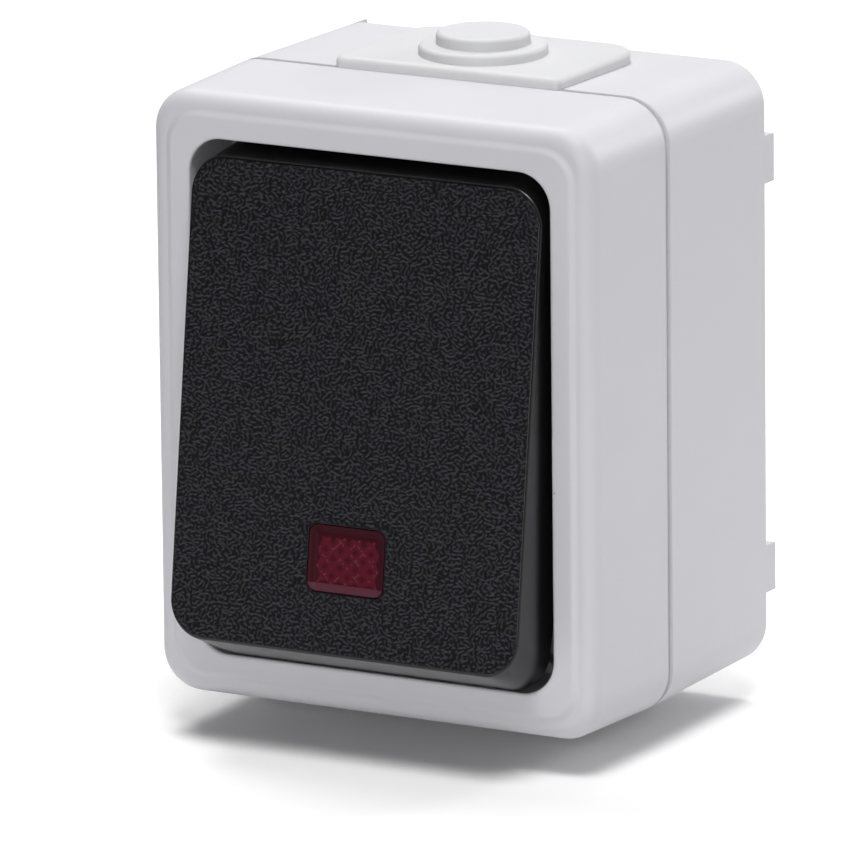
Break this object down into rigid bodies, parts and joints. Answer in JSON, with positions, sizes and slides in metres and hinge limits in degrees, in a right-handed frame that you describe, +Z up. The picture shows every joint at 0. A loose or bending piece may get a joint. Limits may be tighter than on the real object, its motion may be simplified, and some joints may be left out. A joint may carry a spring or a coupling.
{
  "type": "outdoor rocker switch",
  "caption": "Surface-mounted weatherproof rocker switch in a grey box, with a grained black rocker, a red indicator lens and blind cable entries at its top and bottom.",
  "frame": {"origin": "middle between the two wall screw slots, on the plane that rests on the wall", "axes": "+Z up, +Y into the wall, the rocker faces -Y, +X to the right when seen from the front"},
  "size_m": [0.0648, 0.0579, 0.0888],
  "materials": {
    "housing_grey": "fine moulded texture",
    "gland_grey": "smooth soft plastic",
    "rocker_black": "grained leather-like texture",
    "lens_red": "clear tinted, prismatic back",
    "seal_rubber": "soft",
    "mechanism_white": "moulded thermoset",
    "mechanism_black": "moulded",
    "plunger_steel": "ground",
    "spring_steel": "drawn wire",
    "contact_copper": "rolled copper alloy",
    "contact_silver": "silver rivet",
    "terminal_brass": "bright",
    "screw_zinc": "zinc plated",
    "lamp_glass": "clear glass",
    "resistor_body": "lacquered",
    "lead_tin": "tinned wire"
  },
  "bodies": {
    "housing": {"back_box": "housing_grey", "front_cover": "housing_grey", "housing_seal": "seal_rubber", "top_gland": "gland_grey", "bottom_gland": "gland_grey", "fixed_contact_tips": "contact_silver", "upper_contact": "contact_copper", "lower_contact": "contact_copper", "pivot_terminal": "contact_copper", "switch_housing": "mechanism_white", "switch_base": "mechanism_white", "terminal_clamps": "terminal_brass", "terminal_screws": "screw_zinc", "insert_gasket": "seal_rubber", "insert_screws": "screw_zinc", "base_screws": "screw_zinc", "cover_screws": "screw_zinc", "cover_screw_seals": "seal_rubber", "neon_lamp": "lamp_glass", "lamp_carrier": "mechanism_black", "lamp_resistor": "resistor_body", "lamp_leads": "lead_tin"},
    "rocker": {"rocker_cap": "rocker_black", "indicator_lens": "lens_red", "drive_lever": "mechanism_black", "plunger_spring": "spring_steel"},
    "plunger": {"detent_plunger": "plunger_steel"},
    "bridge": {"contact_bridge": "contact_copper", "moving_contact_tips": "contact_silver"}
  },
  "joints": [
    {"name": "rocker_tilt", "type": "hinge", "parent": "housing", "child": "rocker", "pos_m": [0, -0.04593, 0], "axis": [1, 0, 0], "range_deg": [0, 15]},
    {"name": "bridge_tilt", "type": "hinge", "parent": "housing", "child": "bridge", "pos_m": [0, -0.02843, 0], "axis": [1, 0, 0], "range_deg": [-12, 0]},
    {"name": "plunger_slide", "type": "slide", "parent": "rocker", "child": "plunger", "axis": [0, -0.9914, 0.1305], "range_m": [0, 0.0006], "stiffness_N_per_m": 40, "springref_m": -0.003, "deforming": ["plunger_spring"]}
  ],
  "couplings": [
    {"joint": "bridge_tilt", "follows": "rocker_tilt", "ratio": -0.8}
  ]
}
